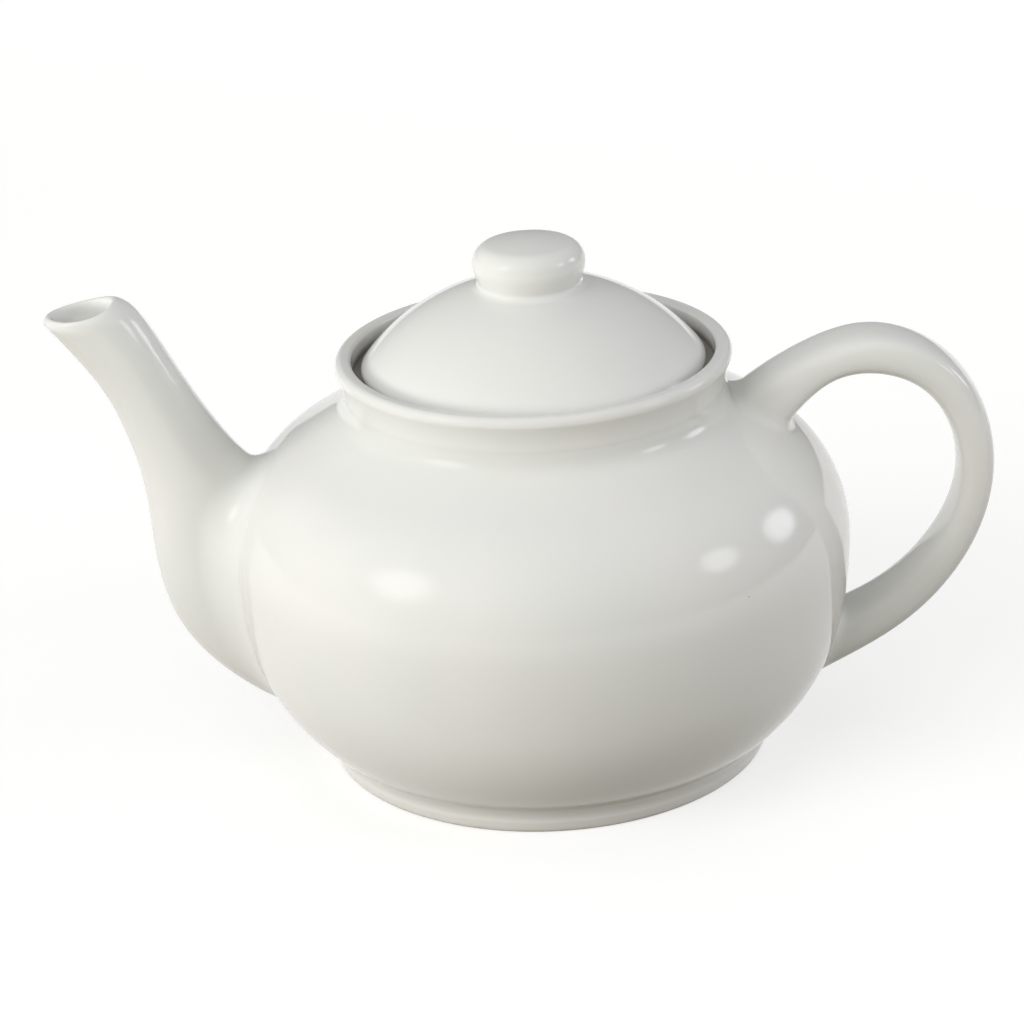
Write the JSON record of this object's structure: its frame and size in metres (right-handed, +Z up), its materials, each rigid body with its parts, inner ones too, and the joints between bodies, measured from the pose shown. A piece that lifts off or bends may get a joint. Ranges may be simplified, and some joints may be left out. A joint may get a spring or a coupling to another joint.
{
  "type": "teapot",
  "caption": "Round-bodied white ceramic teapot with a rim collar, swan-neck spout, loop handle and a lift-off domed lid with a flattened knob.",
  "frame": {"origin": "on the pot's turning axis, in the plane of the foot ring's standing face", "axes": "+Z up along the turning axis, +X towards the handle, -X towards the spout"},
  "size_m": [0.2258, 0.15, 0.1287],
  "materials": {
    "white_glaze": "glossy clear glaze over white ware",
    "foot_ceramic": "glazed sides, bare standing face"
  },
  "bodies": {
    "pot": {"body": "white_glaze", "foot_ring": "foot_ceramic", "collar": "white_glaze", "spout": "white_glaze", "handle": "white_glaze"},
    "lid": {"lid": "white_glaze", "lid_flange": "white_glaze", "lid_knob": "white_glaze"}
  },
  "joints": [
    {"name": "lid_lift", "type": "slide", "parent": "pot", "child": "lid", "axis": [0, 0, 1], "range_m": [0, 0.08]}
  ]
}
